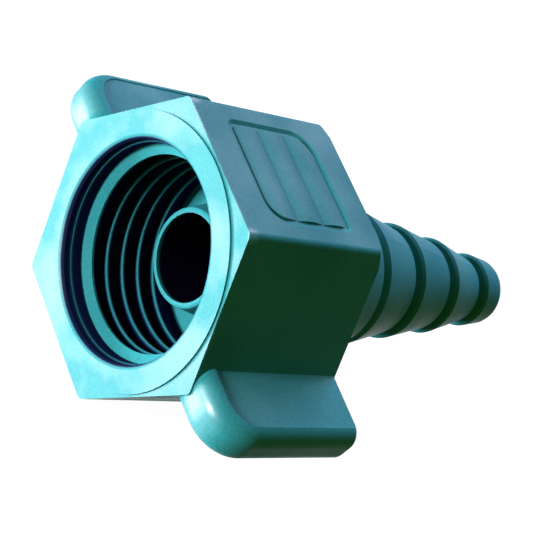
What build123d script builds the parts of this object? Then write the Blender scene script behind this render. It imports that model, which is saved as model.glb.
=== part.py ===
from build123d import *
import math
import os

os.makedirs("parts", exist_ok=True)

# Winged outlet fitting with a hose barb, moulded in one piece.
# It lies on one flat of its nut, with the wings level.
# X runs along the wings, Y from the mouth to the barb tip, Z up through the grip panel.
# The origin is the centre of the mouth, in the plane of its washer face.

# Nut
across_flats = 18.5
nut_length = 12.4
nut_edge_radius = 0.5
rear_corner_diameter = 20.3
rear_corner_angle = 40.0
washer_face_diameter = 18.2
washer_face_height = 0.15

# Mouth and thread wall, from the front inwards
mouth_diameter = 14.5
mouth_lip_round = 0.3
mouth_step_depth = 0.8
mouth_step = 0.12
lead_in_depth = 1.7
lead_in_length = 0.35
thread_crest_diameter = 13.0
collar_land = 0.15
thread_root_diameter = 14.3
cavity_depth = 9.3
cavity_corner = 0.35

# Nose that stands up from the cavity floor and seats in the mating part
nose_depth = 4.75
nose_bore_diameter = 6.0
nose_rim_width = 0.4
nose_rim_round = 0.2
nose_root_diameter = 9.2
nose_bore_end = 16.0

# Flow bore of the tail
flow_bore_diameter = 3.5
flow_bore_start = 27.0
flow_bore_chamfer = 0.2

# Wings
wing_span = 29.4
wing_front = 0.3
wing_thickness = 3.2
wing_front_corner = 3.0
wing_edge_round = 1.2
wing_rear_round = 0.45
web_depth = 0.12
web_front_rim = 1.35
web_tip_rim = 0.95
web_corner = 1.8
web_slope = 45.0

# Grip panel on the upper flat
panel_length = 7.6
panel_width = 7.05
panel_centre = 6.35
panel_corner = 1.7
panel_point = 0.5
panel_depth = 0.15
panel_slope = 60.0
bar_count = 3
bar_end_gap = 0.2

# Shank between the nut and the first barb
shank_root_diameter = 13.1
shank_end_diameter = 10.3
shank_root_fillet = 0.9

# Barbs, each with its wide end towards the nut
first_barb = 19.5
barb_pitch = 4.77
barb_wide_diameters = (10.16, 8.68, 7.4, 5.76)
barb_small_diameters = (8.24, 7.0, 5.24, 5.2)
groove_width = 0.75
groove_depth = 0.4
groove_front_slope = 0.12
barb_edge_slope = 0.3
barb_edge_round = 0.15
tip_length = 2.39
tip_round = 0.45

# Planes that look along the fitting: the first stands at the mouth, the second cuts it lengthwise
mouth_plane = Plane(origin=(0, 0, 0), x_dir=(1, 0, 0), z_dir=(0, 1, 0))
half_section = Plane(origin=(0, 0, 0), x_dir=(0, 1, 0), z_dir=(1, 0, 0))
fitting_axis = Axis((0, 0, 0), (0, 1, 0))

corner_radius = across_flats / math.sqrt(3)
flat_height = across_flats / 2
half_wing = wing_thickness / 2
tail_end = first_barb + (len(barb_wide_diameters) - 1) * barb_pitch + tip_length


def turned(points):
    """Turn a closed outline of (distance along, radius) points round the axis."""
    outline = Polyline(*points, close=True)
    face = make_face(half_section * outline)
    return revolve(face, axis=fitting_axis)


def ring(inner, outer, start, length):
    """A plain ring round the axis, from one distance along it over a length."""
    return turned([(start, inner), (start, outer), (start + length, outer), (start + length, inner)])


# Hexagon nut with a corner to each side, so that one flat faces up and one down
hexagon = mouth_plane * RegularPolygon(radius=corner_radius, side_count=6)
nut = extrude(hexagon, amount=nut_length)
long_edges = nut.edges().filter_by(Axis.Y)
nut = fillet(long_edges, radius=nut_edge_radius)

# The rear corners are turned off
corner_drop = (corner_radius - rear_corner_diameter / 2) * math.tan(math.radians(rear_corner_angle))
rear_turning = turned([
    (-1, 0),
    (-1, corner_radius + 1),
    (nut_length - corner_drop, corner_radius + 1),
    (nut_length - corner_drop, corner_radius),
    (nut_length, rear_corner_diameter / 2),
    (nut_length, 0),
])
nut = nut & rear_turning

# The washer face stands proud of the corners
nut -= ring(washer_face_diameter / 2, corner_radius + 1, -1, 1 + washer_face_height)

# One wing blade across the whole nut, well rounded along its front and tips and squarer at the back
blade_length = nut_length - wing_front
blade_outline = Plane.XY * Pos(0, wing_front + blade_length / 2) * Rectangle(wing_span, blade_length)
front_corners = blade_outline.vertices().group_by(Axis.Y)[0]
blade_outline = fillet(front_corners, radius=wing_front_corner)
blade = extrude(blade_outline, amount=half_wing, both=True)
rim_edges = blade.edges().filter_by(Axis.X).group_by(Axis.Y)[0]
blade = fillet(rim_edges, radius=wing_edge_round)
back_edges = blade.faces().sort_by(Axis.Y)[-1].edges()
blade = fillet(back_edges, radius=wing_rear_round)

# A shallow web with sloped sides is sunk in both faces of each wing, open to the back
web_length = blade_length - web_front_rim + 2
web_width = wing_span - 2 * web_tip_rim
web_centre = wing_front + web_front_rim + web_length / 2
web_outline = Plane.XY * Pos(0, web_centre, half_wing - web_depth) * Rectangle(web_width, web_length)
web_corners = web_outline.vertices().group_by(Axis.Y)[0]
web_outline = fillet(web_corners, radius=web_corner)
upper_web = extrude(web_outline, amount=2 * web_depth, taper=-web_slope)
blade -= upper_web
blade -= mirror(upper_web, about=Plane.XY)

# Grip panel: a sunk leaf-shaped field with rounded bars that rise back to the flat
bar_pitch = panel_width / bar_count
panel_outline = Plane.XY * Pos(0, panel_centre) * Rectangle(panel_length, panel_width)
leaf_corners = panel_outline.vertices().sort_by(lambda corner: corner.X * (corner.Y - panel_centre))
panel_outline = fillet(leaf_corners[:2], radius=panel_corner)
point_corners = panel_outline.vertices().sort_by(lambda corner: corner.X * (corner.Y - panel_centre))[-2:]
panel_outline = fillet(point_corners, radius=panel_point)
panel = Pos(0, 0, flat_height - panel_depth) * extrude(panel_outline, amount=2 * panel_depth, taper=-panel_slope)
bar_radius = (bar_pitch ** 2 / 4 + panel_depth ** 2) / (2 * panel_depth)
bar_length = panel_length - 2 * bar_end_gap
field_start = panel_centre - panel_width / 2
bars = []
for bar in range(bar_count):
    bar_centre = field_start + (bar + 0.5) * bar_pitch
    bars.append(Pos(0, bar_centre, flat_height - bar_radius) * Rot(0, 90, 0) * Cylinder(bar_radius, bar_length))
field_outline = offset(panel_outline, amount=-bar_end_gap)
field = Pos(0, 0, flat_height - panel_depth - 0.1) * extrude(field_outline, amount=panel_depth + 0.1)
bar_tops = [bar & field for bar in bars]

# Tail: shank, then one cone after another, each behind a groove with a sloped far side
tail = [
    (nut_length - 2, 0),
    (nut_length - 2, shank_root_diameter / 2 + shank_root_fillet),
    (nut_length, shank_root_diameter / 2 + shank_root_fillet),
]
fillet_steps = 4
for step in range(1, fillet_steps + 1):
    turn = math.radians(90 * step / fillet_steps)
    along = nut_length + shank_root_fillet * (1 - math.cos(turn))
    reach = shank_root_diameter / 2 + shank_root_fillet * (1 - math.sin(turn))
    tail.append((along, reach))
small_radius = shank_end_diameter / 2
for index, wide_diameter in enumerate(barb_wide_diameters):
    start = first_barb + index * barb_pitch
    floor = small_radius - groove_depth
    tail.append((start - groove_width, small_radius))
    tail.append((start - groove_width + groove_front_slope, floor))
    tail.append((start - barb_edge_slope, floor))
    tail.append((start - barb_edge_round / 2, wide_diameter / 2 - barb_edge_round))
    tail.append((start + barb_edge_round, wide_diameter / 2))
    small_radius = barb_small_diameters[index] / 2
tail.append((tail_end - tip_round, small_radius))
tail.append((tail_end - tip_round * 0.3, small_radius - tip_round * 0.3))
tail.append((tail_end, small_radius - tip_round))
tail.append((tail_end, 0))
tail = turned(tail)

# Cavity of the nut, with the nose left standing in it
crest = thread_crest_diameter / 2
root = thread_root_diameter / 2
mouth = mouth_diameter / 2
lead_end = lead_in_depth + lead_in_length
collar_back = lead_end + collar_land + root - crest
cavity = turned([
    (-1, 0),
    (-1, mouth + mouth_lip_round),
    (0, mouth + mouth_lip_round),
    (mouth_lip_round * 0.3, mouth + mouth_lip_round * 0.3),
    (mouth_lip_round, mouth),
    (mouth_step_depth, mouth),
    (mouth_step_depth, mouth - mouth_step),
    (lead_in_depth, mouth - mouth_step),
    (lead_end, crest),
    (lead_end + collar_land, crest),
    (collar_back, root),
    (cavity_depth - cavity_corner, root),
    (cavity_depth, root - cavity_corner),
    (cavity_depth, 0),
])
nose_rim = nose_bore_diameter / 2 + nose_rim_width
nose = turned([
    (nose_depth, 0),
    (nose_depth, nose_rim - nose_rim_round),
    (nose_depth + nose_rim_round * 0.3, nose_rim - nose_rim_round * 0.3),
    (nose_depth + nose_rim_round, nose_rim),
    (cavity_depth + 0.5, nose_root_diameter / 2),
    (cavity_depth + 0.5, 0),
])

nose_bore = nose_bore_diameter / 2
flow_bore = flow_bore_diameter / 2
bore = turned([
    (nose_depth - 1, 0),
    (nose_depth - 1, nose_bore),
    (nose_bore_end, nose_bore),
    (flow_bore_start, flow_bore),
    (tail_end - flow_bore_chamfer, flow_bore),
    (tail_end + 1, flow_bore + flow_bore_chamfer + 1),
    (tail_end + 1, 0),
])

# Put together
fitting_body = nut + blade
fitting_body -= panel
for bar_top in bar_tops:
    fitting_body += bar_top
fitting_body += tail
fitting_body -= cavity
fitting_body += nose
fitting_body -= bore
fitting_body = fitting_body.solid()
export_step(fitting_body, "parts/fitting_body.step")
print("volume mm3", round(fitting_body.volume, 1), "centre", fitting_body.center())
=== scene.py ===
"""Winged outlet fitting with a hose barb: finish, thread, light and camera."""
import math

import bpy
from bpy.props import FloatProperty, FloatVectorProperty, IntProperty, PointerProperty
from mathutils import Matrix, Vector


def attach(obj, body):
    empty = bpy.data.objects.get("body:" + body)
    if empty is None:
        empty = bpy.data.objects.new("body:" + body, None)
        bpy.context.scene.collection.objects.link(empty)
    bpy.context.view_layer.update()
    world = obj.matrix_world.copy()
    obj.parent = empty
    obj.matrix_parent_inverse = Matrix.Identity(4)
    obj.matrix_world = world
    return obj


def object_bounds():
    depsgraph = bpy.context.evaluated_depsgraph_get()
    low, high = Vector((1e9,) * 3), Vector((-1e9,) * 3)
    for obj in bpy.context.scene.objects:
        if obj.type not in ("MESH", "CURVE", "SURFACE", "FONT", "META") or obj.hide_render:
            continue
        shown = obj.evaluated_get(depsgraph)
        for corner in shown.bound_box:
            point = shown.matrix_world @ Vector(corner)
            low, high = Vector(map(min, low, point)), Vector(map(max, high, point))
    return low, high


bl_info = {
    "name": "Winged outlet fitting",
    "version": (1, 0, 0),
    "blender": (4, 5, 0),
    "location": "View3D > Sidebar > Fitting",
    "description": "Finishes the moulded fitting, winds its thread and sets up the studio",
    "category": "Object",
}

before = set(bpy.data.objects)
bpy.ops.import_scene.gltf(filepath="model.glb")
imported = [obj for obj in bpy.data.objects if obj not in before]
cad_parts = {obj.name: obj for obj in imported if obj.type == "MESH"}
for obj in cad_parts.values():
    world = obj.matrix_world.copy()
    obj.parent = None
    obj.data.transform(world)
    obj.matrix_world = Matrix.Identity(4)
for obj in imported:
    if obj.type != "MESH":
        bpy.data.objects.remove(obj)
cad_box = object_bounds()
MM = 0.001

# Plastic: grain, the streaks left by its flow in the mould, gloss, and a coat placed for a painted
# sheen
GRAIN_DETAIL = 3.0
GRAIN_ROUGHNESS = 0.6
GRAIN_SPREAD = (0.3, 0.7)
GRAIN_SHADES = (0.86, 1.14)
GRAIN_BUMP = 0.5
FLOW_SCALE = 180.0
FLOW_DETAIL = 4.0
FLOW_SPREAD = (0.35, 0.65)
SATIN_ROUGHNESS = (0.30, 0.48)
DULL_ROUGHNESS = 1.0
SPECULAR_LEVEL = 0.02
COAT_IOR = 1.8
COAT_ROUGHNESS = 0.38
# Coat in patches on the washer face and on the wing noses, placed for a painted sheen
SHEEN_SPREAD = (0.42, 0.62)
SHEEN_COAT = (0.05, 0.40)

# Bands of the plastic, by radius from the bore's axis or by depth from the washer face.
# Each has its measure, the span of its ramp in mm, and pairs of a place in mm and a level.
# The wall is darkened by painted shade, except on its first crest, which is the gap between 1.68
# and 2.25 mm.
BANDS = {
    # Painted shade on the mouth's wall and thread roots
    "wall_shade_radius": ("radius", 8, ((6.50, 0), (6.68, 1), (7.34, 1), (7.46, 0))),
    "wall_shade_depth": ("depth", 10, (
        (0.01, 0), (0.05, 1), (0.62, 1), (0.72, 0.78), (0.88, 0.78), (0.98, 1),
        (1.60, 1), (1.68, 0), (2.25, 0), (2.40, 1), (9.15, 1), (9.28, 0),
    )),
    # Painted shade down the flow bore
    "bore_shade_radius": ("radius", 8, ((3.02, 1), (3.08, 0))),
    "bore_shade_depth": ("depth", 32, ((4.80, 0), (5.10, 1), (28.0, 1), (29.5, 0))),
    # Where the coat for the painted sheen goes: the washer face and the wing noses
    "washer_face": ("depth", 4, ((0.12, 1), (0.34, 0))),
    "nose_depth": ("depth", 10, ((0.50, 1), (1.10, 0))),
    "wing_radius": ("radius", 20, ((10.4, 0), (10.9, 0.95))),
}

# How sharp an edge may be and still be shaded smooth
BODY_SMOOTHING = math.radians(28.0)
RIDGE_SMOOTHING = math.radians(35.0)

# Ridge: how far it is sunk in the wall, and how much of its height is left where it runs out
RIDGE_SEAT = 0.04 * MM
LEAST_RISE = 0.05

# Floor and room
FLOOR_SIZE = 6.0
PAPER_TOOTH = 900.0
PAPER_SHADES = (0.20, 0.22)
PAPER_GLOW = 0.97
BOUNCE_TINT = (1.0, 0.85, 0.03, 1.0)
ROOM_LIGHT = 0.075
ROOM_TINT = (1.2, 1.35, 0.0, 1.0)
WHITE = (1.0, 1.0, 1.0, 1.0)

# Lamps: place, target and length of a side in m, colour, and the setting that holds the power
LAMPS = {
    "key_lamp": ((-0.122, -0.160, -0.147), (0, 0.004, 0), 0.12, (0.92, 0.96, 1.0), "key_power"),
    "mouth_lamp": ((-0.017, -0.245, 0.040), (0, 0.004, 0), 0.04, (0.94, 0.97, 1.0), "mouth_power"),
    "back_lamp": ((-0.135, 0.148, 0.144), (0, 0.010, 0), 0.14, (0.85, 0.66, 1.0), "back_power"),
}

# Camera: its place, and the directions to its right, down and ahead; sensor in mm, range in m
CAMERA_PLACE = Vector((48.0454, -62.8318, 58.2228)) * MM
CAMERA_RIGHT = Vector((0.357992, 0.703130, 0.614370))
CAMERA_DOWN = Vector((0.818372, 0.080524, -0.569020))
CAMERA_AHEAD = Vector((-0.449566, 0.706488, -0.546594))
SENSOR_WIDTH = 36.0
NEAREST = 0.005
FURTHEST = 20.0


class ThreadSizes(bpy.types.PropertyGroup):
    """Sizes of the helical ridge in the mouth."""

    pitch: FloatProperty(
        name="Pitch", description="Distance from one crest to the next",
        default=1.38 * MM, unit="LENGTH",
    )
    crest_radius: FloatProperty(
        name="Crest radius", description="Radius of the ridge's top",
        default=6.5 * MM, unit="LENGTH",
    )
    root_radius: FloatProperty(
        name="Root radius", description="Radius of the wall that carries the ridge",
        default=7.15 * MM, unit="LENGTH",
    )
    first_crest: FloatProperty(
        name="First crest", description="Depth at which the ridge starts, on the -X side",
        default=2.28 * MM, unit="LENGTH",
    )
    crest_width: FloatProperty(
        name="Crest width", description="Flat on top of the ridge",
        default=0.12 * MM, unit="LENGTH",
    )
    base_width: FloatProperty(
        name="Base width", description="Width of the ridge at the wall",
        default=0.62 * MM, unit="LENGTH",
    )
    turns: FloatProperty(
        name="Turns", description="How many turns the ridge makes",
        default=4.7,
    )
    run_in: FloatProperty(
        name="Run in", description="Part of a turn over which the ridge rises at its start",
        default=0.28,
    )
    run_out: FloatProperty(
        name="Run out", description="Part of a turn over which the ridge sinks at its end",
        default=0.12,
    )
    turn_steps: IntProperty(
        name="Steps", description="Straight pieces in one turn",
        default=96,
    )


class FinishColours(bpy.types.PropertyGroup):
    """Colours and grain of the moulded plastic, and the tints of its painted shade."""

    body: FloatVectorProperty(
        name="Body", description="Colour of the moulded plastic",
        subtype="COLOR", size=4, default=(0.034, 0.270, 0.300, 1.0),
    )
    deep: FloatVectorProperty(
        name="Deep", description="Darker streaks in the plastic",
        subtype="COLOR", size=4, default=(0.026, 0.225, 0.255, 1.0),
    )
    # Painted shade: this tint darkens the mouth's wall and thread roots, where shade falls
    painted_wall_shade: FloatVectorProperty(
        name="Recess", description="Tint that darkens the thread roots",
        subtype="COLOR", size=4, default=(0.20, 0.045, 0.20, 1.0),
    )
    # Painted shade: this tint darkens the flow bore, where shade falls
    bore: FloatVectorProperty(
        name="Bore", description="Tint that darkens the flow bore",
        subtype="COLOR", size=4, default=(0.08, 0.006, 0.03, 1.0),
    )
    grain_size: FloatProperty(
        name="Grain size", description="Size of the moulded grain",
        default=0.16 * MM, unit="LENGTH",
    )
    grain_depth: FloatProperty(
        name="Grain depth", description="Height of the moulded grain",
        default=0.02 * MM, unit="LENGTH",
    )


class StudioSettings(bpy.types.PropertyGroup):
    """Lamps and camera of the studio."""

    key_power: FloatProperty(
        name="Key power", description="Power of the low lamp in front of the mouth",
        default=1.38, unit="POWER",
    )
    mouth_power: FloatProperty(
        name="Mouth power", description="Power of the lamp that looks into the mouth",
        default=0.95, unit="POWER",
    )
    back_power: FloatProperty(
        name="Back power", description="Power of the lamp behind the tail",
        default=0.82, unit="POWER",
    )
    lens: FloatProperty(
        name="Lens", description="Focal length of the camera",
        default=102.88, unit="CAMERA",
    )


def deselect_all():
    """Leave nothing selected and no object in edit mode."""
    if bpy.context.object and bpy.context.object.mode != "OBJECT":
        bpy.ops.object.mode_set(mode="OBJECT")
    bpy.ops.object.select_all(action="DESELECT")


def new_material(name):
    """A material with an emptied node tree, and its tree."""
    material = bpy.data.materials.new(name)
    material.use_nodes = True
    material.node_tree.nodes.clear()
    return material, material.node_tree


def add_node(tree, kind, x, y, inputs=None, **values):
    """Add a node, set its plain values, and link or set the inputs that are given."""
    node = tree.nodes.new(kind)
    node.location = (x, y)
    for key, value in values.items():
        setattr(node, key, value)
    for key, value in (inputs or {}).items():
        if isinstance(value, bpy.types.NodeSocket):
            tree.links.new(value, node.inputs[key])
        else:
            node.inputs[key].default_value = value
    return node


def add_math(tree, operation, first, second, x, y):
    """The result of a math node on two values."""
    node = add_node(tree, "ShaderNodeMath", x, y, {0: first, 1: second}, operation=operation)
    return node.outputs[0]


def add_range(tree, value, spread, limits, x, y):
    """A value stretched so that the ends of its spread reach the two limits."""
    node = add_node(tree, "ShaderNodeMapRange", x, y, {
        "Value": value,
        "From Min": spread[0], "From Max": spread[1],
        "To Min": limits[0], "To Max": limits[1],
    })
    return node.outputs["Result"]


def add_tint(tree, factor, colour, tint, x, y):
    """A colour multiplied by a tint, as far as the factor goes."""
    node = add_node(
        tree, "ShaderNodeMix", x, y, {"Factor": factor, "A": colour, "B": tint},
        data_type="RGBA", blend_type="MULTIPLY",
    )
    return node.outputs["Result"]


def band_mask(tree, value, span, stops, x, y):
    """A mask that changes along a length of span mm, by pairs of a place in mm and a level."""
    part = add_range(tree, value, (0.0, span * MM), (0.0, 1.0), x - 200, y)
    ramp = add_node(tree, "ShaderNodeValToRGB", x, y, {"Fac": part})
    marks = ramp.color_ramp.elements
    while len(marks) < len(stops):
        marks.new(1.0)
    for mark, (place, level) in zip(marks, stops):
        mark.position = place / span
        mark.color = (level, level, level, 1.0)
    return ramp.outputs["Color"]


def moulded_plastic(colours):
    """Teal moulded plastic: spark grain, faint flow streaks, painted shade in the mouth and the
    bore, and a coat placed on the front for a painted sheen.
    """
    material, tree = new_material("moulded_plastic")
    place = add_node(tree, "ShaderNodeTexCoord", -1600, 0).outputs["Object"]
    parts = add_node(tree, "ShaderNodeSeparateXYZ", -1400, 600, {"Vector": place})
    across = add_node(tree, "ShaderNodeCombineXYZ", -1200, 600, {
        "X": parts.outputs["X"], "Z": parts.outputs["Z"],
    })
    reach = add_node(
        tree, "ShaderNodeVectorMath", -1000, 600, {0: across.outputs["Vector"]},
        operation="LENGTH",
    )
    measures = {"radius": reach.outputs["Value"], "depth": parts.outputs["Y"]}
    masks = {}
    for row, (name, (measure, span, stops)) in enumerate(BANDS.items()):
        height = 1200 - 250 * row
        masks[name] = band_mask(tree, measures[measure], span, stops, -600, height)

    # Colour, darkened by painted shade on the mouth's wall, in the thread roots and down the bore
    grain = add_node(tree, "ShaderNodeTexNoise", -1400, -300, {
        "Vector": place, "Scale": 1.0 / colours.grain_size,
        "Detail": GRAIN_DETAIL, "Roughness": GRAIN_ROUGHNESS,
    }).outputs["Fac"]
    flow = add_node(tree, "ShaderNodeTexNoise", -1400, 200, {
        "Vector": place, "Scale": FLOW_SCALE, "Detail": FLOW_DETAIL,
    }).outputs["Fac"]
    streaks = add_range(tree, flow, FLOW_SPREAD, (0.0, 1.0), -1200, 200)
    teal = add_node(tree, "ShaderNodeMix", -1000, 200, {
        "Factor": streaks, "A": colours.body, "B": colours.deep,
    }, data_type="RGBA").outputs["Result"]
    speck = add_range(tree, grain, GRAIN_SPREAD, GRAIN_SHADES, -1200, -100)
    teal = add_tint(tree, 1.0, teal, speck, -200, 200)
    # Masks of the painted shade: the mouth's wall and thread roots, and the flow bore
    painted_wall_mask = add_math(
        tree, "MULTIPLY", masks["wall_shade_radius"], masks["wall_shade_depth"], -200, 1100,
    )
    # Painted shade in the flow bore
    painted_bore_mask = add_math(
        tree, "MULTIPLY", masks["bore_shade_radius"], masks["bore_shade_depth"], -200, 600,
    )
    teal = add_tint(tree, painted_wall_mask, teal, colours.painted_wall_shade, 0, 600)
    teal = add_tint(tree, painted_bore_mask, teal, colours.bore, 200, 400)

    # Gloss: satin with the streaks, dull where shade is painted, and a coat on the washer face and
    # wing noses that gives them a painted sheen
    satin = add_range(tree, flow, FLOW_SPREAD, SATIN_ROUGHNESS, -200, 0)
    painted_shade_mask = add_math(tree, "MAXIMUM", painted_wall_mask, painted_bore_mask, 0, 900)
    roughness = add_range(tree, painted_shade_mask, (0.0, 1.0), (satin, DULL_ROUGHNESS), 200, 0)
    # Painted sheen: a coat in patches on the washer face, and on the wing noses
    patchy_sheen = add_range(tree, flow, SHEEN_SPREAD, SHEEN_COAT, -400, -500)
    face_coat = add_math(tree, "MULTIPLY", masks["washer_face"], patchy_sheen, -200, -500)
    nose_coat = add_math(
        tree, "MULTIPLY", masks["nose_depth"], masks["wing_radius"], -200, -700,
    )
    coat = add_math(tree, "MAXIMUM", face_coat, nose_coat, 0, -500)
    bump = add_node(tree, "ShaderNodeBump", 200, -300, {
        "Strength": GRAIN_BUMP, "Distance": colours.grain_depth, "Height": grain,
    })
    surface = add_node(tree, "ShaderNodeBsdfPrincipled", 400, 0, {
        "Base Color": teal,
        "Roughness": roughness,
        "Normal": bump.outputs["Normal"],
        "Specular IOR Level": SPECULAR_LEVEL,
        "Coat Weight": coat,
        "Coat Roughness": COAT_ROUGHNESS,
        "Coat IOR": COAT_IOR,
    })
    add_node(tree, "ShaderNodeOutputMaterial", 700, 0, {"Surface": surface.outputs["BSDF"]})
    return material


def background_rays(tree, x, y):
    """The ray kinds, and a mask of the rays that show the background as it is seen."""
    paths = add_node(tree, "ShaderNodeLightPath", x, y).outputs
    seen = add_math(
        tree, "MAXIMUM", paths["Is Camera Ray"], paths["Is Glossy Ray"], x + 200, y,
    )
    seen = add_math(tree, "MAXIMUM", seen, paths["Is Transmission Ray"], x + 400, y)
    return paths, seen


def pale_floor():
    """Pale floor, seen as white paper, that keeps the object's soft shadow."""
    material, tree = new_material("pale_floor")
    paths, seen = background_rays(tree, -800, 200)
    place = add_node(tree, "ShaderNodeTexCoord", -800, -200).outputs["Object"]
    tooth = add_node(tree, "ShaderNodeTexNoise", -600, -200, {
        "Vector": place, "Scale": PAPER_TOOTH,
    }).outputs["Fac"]
    fleck = add_range(tree, tooth, (0.0, 1.0), PAPER_SHADES, -400, -200)
    warm = add_tint(tree, 1.0, fleck, BOUNCE_TINT, -300, -300)
    bounce = add_node(tree, "ShaderNodeBsdfDiffuse", -200, -300, {"Color": warm})
    paper = add_node(tree, "ShaderNodeBsdfDiffuse", -200, -100, {"Color": fleck})
    glow = add_node(tree, "ShaderNodeEmission", -200, 100, {"Strength": PAPER_GLOW})
    both = add_node(tree, "ShaderNodeAddShader", 0, 0, {
        0: paper.outputs["BSDF"], 1: glow.outputs["Emission"],
    })
    sheet = add_node(tree, "ShaderNodeMixShader", 200, 0, {
        "Fac": seen, 1: bounce.outputs["BSDF"], 2: both.outputs["Shader"],
    })
    clear = add_node(tree, "ShaderNodeBsdfTransparent", 200, -200)
    table = add_node(tree, "ShaderNodeMixShader", 400, 0, {
        "Fac": paths["Is Shadow Ray"], 1: sheet.outputs["Shader"], 2: clear.outputs["BSDF"],
    })
    add_node(tree, "ShaderNodeOutputMaterial", 600, 0, {"Surface": table.outputs["Shader"]})
    return material


def studio_world(scene):
    """Dim room light on the object, and white where the camera sees past the floor."""
    world = bpy.data.worlds.new("studio_room")
    world.use_nodes = True
    tree = world.node_tree
    tree.nodes.clear()
    seen = background_rays(tree, -700, 0)[1]
    room = add_node(tree, "ShaderNodeBackground", -300, 200, {
        "Color": ROOM_TINT, "Strength": ROOM_LIGHT,
    })
    white = add_node(tree, "ShaderNodeBackground", -300, -200, {
        "Color": WHITE, "Strength": 1.0,
    })
    mix = add_node(tree, "ShaderNodeMixShader", 0, 0, {
        "Fac": seen, 1: room.outputs["Background"], 2: white.outputs["Background"],
    })
    add_node(tree, "ShaderNodeOutputWorld", 200, 0, {"Surface": mix.outputs["Shader"]})
    scene.world = world


def area_lamp(name, place, target, side, colour, power):
    """Hang a soft square lamp at a place, turned to face a target."""
    deselect_all()
    bpy.ops.object.light_add(type="AREA", location=place)
    lamp = bpy.context.object
    lamp.name = name
    lamp.data.size = side
    lamp.data.energy = power
    lamp.data.color = colour
    lamp.visible_camera = False
    facing = Vector(target) - Vector(place)
    lamp.rotation_euler = facing.to_track_quat("-Z", "Y").to_euler()


class FITTING_OT_studio(bpy.types.Operator):
    """Lay the pale floor, hang the lamps and set up the camera"""

    bl_idname = "fitting.studio"
    bl_label = "Studio"

    def execute(self, context):
        scene = context.scene
        studio = scene.fitting_studio
        deselect_all()
        bpy.ops.mesh.primitive_plane_add(size=FLOOR_SIZE, location=(0, 0, 0))
        floor = context.object
        floor.name = "studio_floor"
        bpy.ops.object.mode_set(mode="EDIT")
        bpy.ops.transform.translate(value=(0, 0, cad_box[0].z))
        bpy.ops.object.mode_set(mode="OBJECT")
        floor.data.materials.append(pale_floor())
        studio_world(scene)
        for name, (place, target, side, colour, power) in LAMPS.items():
            area_lamp(name, place, target, side, colour, getattr(studio, power))
        camera_data = bpy.data.cameras.new("photo_camera")
        camera = bpy.data.objects.new("photo_camera", camera_data)
        scene.collection.objects.link(camera)
        camera_data.sensor_width = SENSOR_WIDTH
        camera_data.lens = studio.lens
        camera_data.clip_start = NEAREST
        camera_data.clip_end = FURTHEST
        turn = Matrix((CAMERA_RIGHT, -CAMERA_DOWN, -CAMERA_AHEAD)).transposed().to_4x4()
        camera.matrix_world = Matrix.Translation(CAMERA_PLACE) @ turn
        scene.camera = camera
        return {"FINISHED"}


class FITTING_OT_body_finish(bpy.types.Operator):
    """Give the moulded body its plastic"""

    bl_idname = "fitting.body_finish"
    bl_label = "Body finish"

    def execute(self, context):
        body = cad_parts["fitting_body"]
        plastic = moulded_plastic(context.scene.fitting_finish)
        body.data.materials.clear()
        body.data.materials.append(plastic)
        deselect_all()
        body.select_set(True)
        context.view_layer.objects.active = body
        bpy.ops.object.shade_smooth_by_angle(angle=BODY_SMOOTHING)
        return {"FINISHED"}


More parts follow.
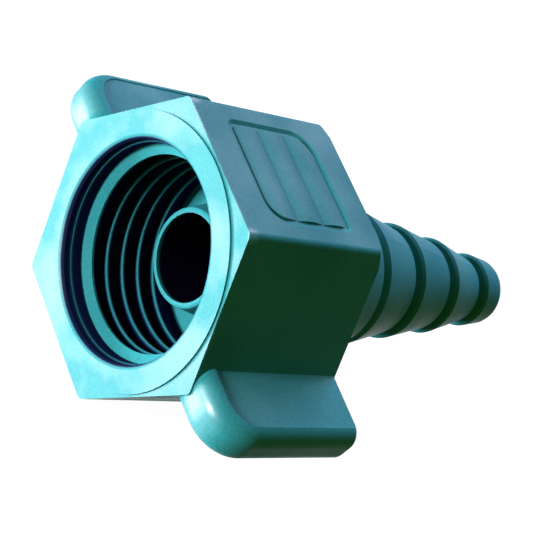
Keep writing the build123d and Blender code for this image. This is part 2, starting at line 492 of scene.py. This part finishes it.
class FITTING_OT_thread(bpy.types.Operator):
    """Wind the helical ridge that stands on the wall of the mouth"""

    bl_idname = "fitting.thread"
    bl_label = "Thread"

    def execute(self, context):
        sizes = context.scene.fitting_thread
        seat = sizes.root_radius + RIDGE_SEAT
        height = seat - sizes.crest_radius
        middle = -seat + height / 2
        narrow = sizes.crest_width / sizes.base_width

        # Outline of the ridge: an upright rectangle at the wall, drawn in at its crest
        deselect_all()
        bpy.ops.mesh.primitive_plane_add(size=1.0, location=(0, 0, 0))
        ridge = context.object
        ridge.name = "thread_ridge"
        bpy.ops.object.mode_set(mode="EDIT")
        bpy.ops.mesh.select_all(action="SELECT")
        bpy.ops.mesh.delete(type="ONLY_FACE")
        bpy.ops.mesh.select_all(action="SELECT")
        bpy.ops.transform.resize(
            value=(height, sizes.base_width, 1), center_override=(0, 0, 0),
        )
        bpy.ops.transform.translate(value=(middle, sizes.first_crest, 0))
        bpy.ops.mesh.select_all(action="DESELECT")
        bpy.ops.object.mode_set(mode="OBJECT")
        for vertex in ridge.data.vertices:
            vertex.select = vertex.co.x > middle
        bpy.ops.object.mode_set(mode="EDIT")
        bpy.ops.transform.resize(
            value=(1, narrow, 1), center_override=(0, sizes.first_crest, 0),
        )
        bpy.ops.object.mode_set(mode="OBJECT")

        # Wound round the bore's axis
        screw = ridge.modifiers.new("turns", "SCREW")
        screw.axis = "Y"
        screw.angle = math.tau * sizes.turns
        screw.screw_offset = sizes.pitch * sizes.turns
        screw.steps = round(sizes.turn_steps * sizes.turns)
        screw.render_steps = screw.steps
        screw.iterations = 1
        screw.use_smooth_shade = True
        bpy.ops.object.modifier_apply(modifier=screw.name)

        # Both ends sink into the wall
        for vertex in ridge.data.vertices:
            across = math.hypot(vertex.co.x, vertex.co.z)
            turned = (vertex.co.y - sizes.first_crest) / sizes.pitch
            rise = min(turned / sizes.run_in, (sizes.turns - turned) / sizes.run_out, 1.0)
            sunk = seat - (seat - across) * max(rise, LEAST_RISE)
            vertex.co.x *= sunk / across
            vertex.co.z *= sunk / across
        bpy.ops.object.mode_set(mode="EDIT")
        bpy.ops.mesh.select_all(action="SELECT")
        bpy.ops.mesh.normals_make_consistent(inside=False)
        bpy.ops.object.mode_set(mode="OBJECT")
        bpy.ops.object.shade_smooth_by_angle(angle=RIDGE_SMOOTHING)
        # The ridge shares the plastic, and with it the painted shade of the mouth's wall
        ridge.data.materials.append(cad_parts["fitting_body"].data.materials[0])
        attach(ridge, "root")
        return {"FINISHED"}


class FITTING_PT_panel(bpy.types.Panel):
    """Lists the steps that finish the fitting"""

    bl_idname = "FITTING_PT_panel"
    bl_label = "Outlet fitting"
    bl_space_type = "VIEW_3D"
    bl_region_type = "UI"
    bl_category = "Fitting"

    def draw(self, context):
        layout = self.layout
        scene = context.scene
        for name in ("fitting.body_finish", "fitting.thread", "fitting.studio"):
            layout.operator(name)
        for settings in (scene.fitting_thread, scene.fitting_finish, scene.fitting_studio):
            for key in settings.bl_rna.properties.keys():
                if key not in {"rna_type", "name"}:
                    layout.prop(settings, key)


classes = (
    ThreadSizes,
    FinishColours,
    StudioSettings,
    FITTING_OT_studio,
    FITTING_OT_body_finish,
    FITTING_OT_thread,
    FITTING_PT_panel,
)


def register():
    """Add the classes and the scene's settings."""
    for item in classes:
        bpy.utils.register_class(item)
    bpy.types.Scene.fitting_thread = PointerProperty(type=ThreadSizes)
    bpy.types.Scene.fitting_finish = PointerProperty(type=FinishColours)
    bpy.types.Scene.fitting_studio = PointerProperty(type=StudioSettings)


def unregister():
    """Take the classes and the settings away again."""
    del bpy.types.Scene.fitting_thread
    del bpy.types.Scene.fitting_finish
    del bpy.types.Scene.fitting_studio
    for item in reversed(classes):
        bpy.utils.unregister_class(item)


def main():
    """Build everything in order."""
    register()
    scene = bpy.context.scene
    scene.view_settings.view_transform = "Standard"
    bpy.ops.fitting.body_finish()
    bpy.ops.fitting.thread()
    bpy.ops.fitting.studio()


if __name__ == "__main__":
    main()
